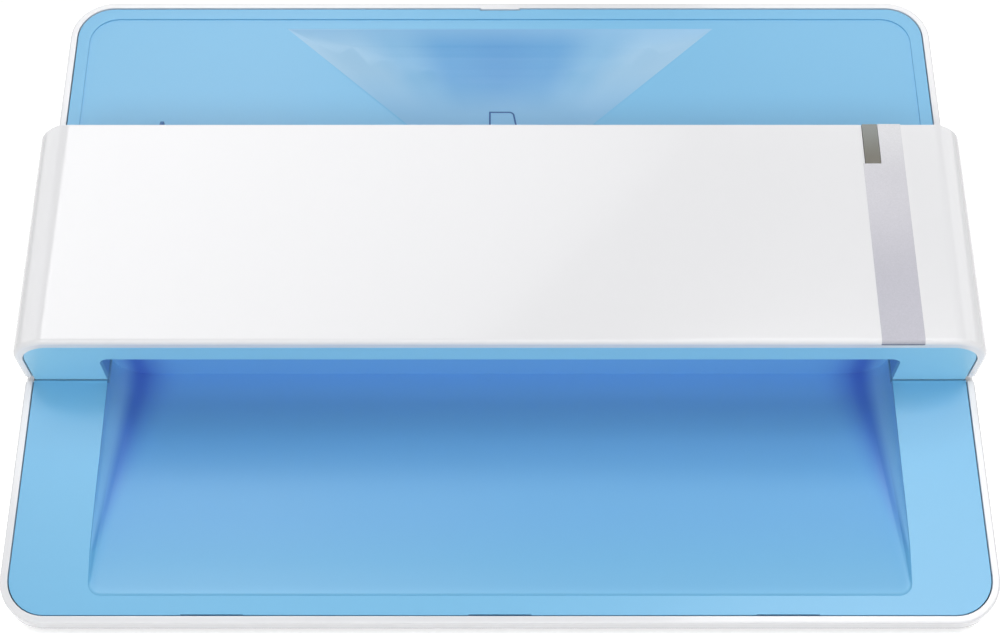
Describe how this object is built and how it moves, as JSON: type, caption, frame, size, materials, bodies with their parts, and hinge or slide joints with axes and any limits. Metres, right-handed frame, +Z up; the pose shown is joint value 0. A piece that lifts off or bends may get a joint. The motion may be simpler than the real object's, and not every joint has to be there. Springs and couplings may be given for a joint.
{
  "type": "photo scanner",
  "caption": "Desktop photo scanner with a sloping deck, light-blue feed and output trays, a glossy white hinged bridge cover over its rollers and a wedge housing with ports at the back.",
  "frame": {"origin": "on the desk, under the middle of the scanner's box", "axes": "+X to the user's right, +Y to the back, +Z up"},
  "size_m": [0.289, 0.1606, 0.1586],
  "materials": {
    "shell_white": "glossy white moulded plastic",
    "tray_blue": "satin light-blue moulded plastic",
    "guide_blue": "fine textured blue plastic",
    "base_grey": "fine textured pale grey plastic",
    "foot_rubber": "matt rubber",
    "roller_rubber": "fine ground rubber",
    "steel": "plated steel",
    "brass": "turned brass",
    "motor_case": "drawn steel can",
    "board_green": "green solder mask",
    "black_plastic": "black moulded plastic",
    "gear_plastic": "waxy natural plastic",
    "pinch_plastic": "smooth hard plastic",
    "ribbon": "flat flexible cable",
    "scan_glass": "clear flat glass",
    "trim_silver": "satin silver film",
    "smoked_window": "smoked clear plastic",
    "button_grey": "grey moulded plastic"
  },
  "bodies": {
    "base": {"deck_frame": "shell_white", "front_tray": "tray_blue", "rear_tray": "tray_blue", "lower_guide": "guide_blue", "rear_housing": "shell_white", "bottom_plate": "base_grey", "rubber_feet": "foot_rubber", "case_screws": "steel", "deck_screws": "steel", "hinge_pins": "steel", "scan_module": "black_plastic", "scan_glass": "scan_glass", "module_bracket": "steel", "drive_plate": "steel", "side_plate": "steel", "roller_bushes": "brass", "drive_motor": "motor_case", "motor_screws": "steel", "main_board": "board_green", "data_socket": "steel", "power_inlet": "black_plastic", "power_switch": "black_plastic", "scan_ribbon": "ribbon", "sensor_pin": "steel", "sensor_board": "board_green"},
    "cover": {"cover_shell": "shell_white", "cover_face": "tray_blue", "entry_panel": "guide_blue", "upper_guide": "guide_blue", "reference_bar": "gear_plastic", "feed_pinch_axle": "steel", "exit_pinch_axle": "steel", "pinch_springs": "steel", "trim_strip": "trim_silver", "indicator_window": "smoked_window", "indicator_board": "board_green", "guide_screws": "steel"},
    "feed_roller": {"feed_shaft": "steel", "feed_tyres": "roller_rubber", "feed_gear": "gear_plastic"},
    "exit_roller": {"exit_shaft": "steel", "exit_tyres": "roller_rubber", "exit_gear": "gear_plastic"},
    "idler": {"idler_shaft": "steel", "idler_gear": "gear_plastic"},
    "motor_rotor": {"motor_shaft": "steel", "motor_pinion": "brass"},
    "feed_pinch": {"feed_pinch_rollers": "pinch_plastic"},
    "exit_pinch": {"exit_pinch_rollers": "pinch_plastic"},
    "width_guide": {"paper_guide": "guide_blue", "guide_clip": "guide_blue"},
    "paper_sensor": {"sensor_lever": "black_plastic"},
    "button": {"power_button": "button_grey"}
  },
  "joints": [
    {"name": "cover_hinge", "type": "hinge", "parent": "base", "child": "cover", "pos_m": [0, -0.02659, 0.06722], "axis": [1, 0, 0], "range_deg": [0, 75]},
    {"name": "feed_spin", "type": "hinge", "parent": "base", "child": "feed_roller", "pos_m": [0, 0.01845, 0.09289], "axis": [1, 0, 0], "continuous": true},
    {"name": "exit_spin", "type": "hinge", "parent": "base", "child": "exit_roller", "pos_m": [0, -0.00912, 0.06673], "axis": [1, 0, 0], "continuous": true},
    {"name": "idler_spin", "type": "hinge", "parent": "base", "child": "idler", "pos_m": [0, 0.01311, 0.0695], "axis": [1, 0, 0], "continuous": true},
    {"name": "motor_spin", "type": "hinge", "parent": "base", "child": "motor_rotor", "pos_m": [0, 0.02668, 0.05592], "axis": [1, 0, 0], "continuous": true},
    {"name": "feed_pinch_spin", "type": "hinge", "parent": "cover", "child": "feed_pinch", "pos_m": [0, 0.00905, 0.1023], "axis": [1, 0, 0], "continuous": true},
    {"name": "exit_pinch_spin", "type": "hinge", "parent": "cover", "child": "exit_pinch", "pos_m": [0, -0.01782, 0.07543], "axis": [1, 0, 0], "continuous": true},
    {"name": "guide_slide", "type": "slide", "parent": "base", "child": "width_guide", "axis": [1, 0, 0], "range_m": [0, 0.15]},
    {"name": "sensor_swing", "type": "hinge", "parent": "base", "child": "paper_sensor", "pos_m": [0, 0.02574, 0.10258], "axis": [1, 0, 0], "range_deg": [0, 25]},
    {"name": "power_press", "type": "slide", "parent": "base", "child": "button", "axis": [0, -1, 0], "range_m": [0, 0.0012], "stiffness_N_per_m": 200, "springref_m": -0.0005}
  ],
  "couplings": [
    {"joint": "idler_spin", "follows": "feed_spin", "ratio": -0.66667},
    {"joint": "exit_spin", "follows": "feed_spin", "ratio": 1.2},
    {"joint": "motor_spin", "follows": "feed_spin", "ratio": 2}
  ]
}
